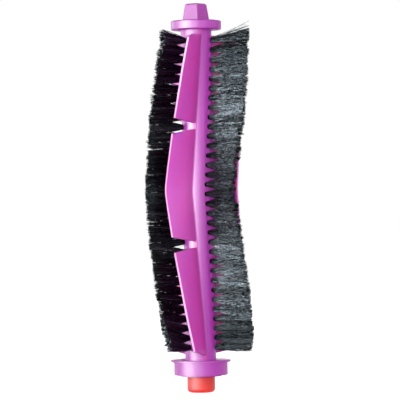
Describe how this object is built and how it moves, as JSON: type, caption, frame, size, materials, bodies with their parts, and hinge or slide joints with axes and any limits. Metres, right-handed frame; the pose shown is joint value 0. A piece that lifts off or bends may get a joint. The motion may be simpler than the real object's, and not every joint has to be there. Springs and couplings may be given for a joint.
{
  "type": "robot vacuum roller brush",
  "caption": "Chevron roller brush for a robot vacuum, with soft sweeping blades between rows of nylon bristle tufts, a square drive boss and a ball bearing in a soft cap.",
  "frame": {"origin": "centre of the bearing cap's flat end, on the surface that the brush stands on", "axes": "+Z along the roller's axis, from the bearing cap to the drive boss; -Y is the front"},
  "size_m": [0.0516, 0.0473, 0.19],
  "materials": {
    "core_plastic": "satin",
    "blade_rubber": "satin",
    "bristle_nylon": "satin",
    "cap_rubber": "matte",
    "steel": "polished",
    "spring_steel": "satin",
    "felt": "matte",
    "cage_plastic": "matte"
  },
  "bodies": {
    "roller": {"roller_core": "core_plastic", "sweep_blade_1": "blade_rubber", "sweep_blade_2": "blade_rubber", "sweep_blade_3": "blade_rubber", "bristle_row_1": "bristle_nylon", "bristle_row_2": "bristle_nylon", "bristle_row_3": "bristle_nylon", "tuft_anchors_1": "steel", "tuft_anchors_2": "steel", "tuft_anchors_3": "steel", "end_cup": "core_plastic", "axle_pin": "steel", "spacer_bush": "steel", "felt_seal": "felt", "inner_race": "steel", "shim_washer": "steel", "retaining_ring": "spring_steel"},
    "bearing_outer": {"bearing_cap": "cap_rubber", "outer_race": "steel", "upper_shield": "steel", "lower_shield": "steel"},
    "ball_train": {"bearing_balls": "steel", "ball_cage": "cage_plastic"}
  },
  "joints": [
    {"name": "bearing_spin", "type": "hinge", "parent": "roller", "child": "bearing_outer", "pos_m": [0, 0, 0.00523], "axis": [0, 0, 1], "continuous": true},
    {"name": "cage_spin", "type": "hinge", "parent": "roller", "child": "ball_train", "pos_m": [0, 0, 0.00523], "axis": [0, 0, 1], "continuous": true}
  ],
  "couplings": [
    {"joint": "cage_spin", "follows": "bearing_spin", "ratio": 0.6143}
  ]
}
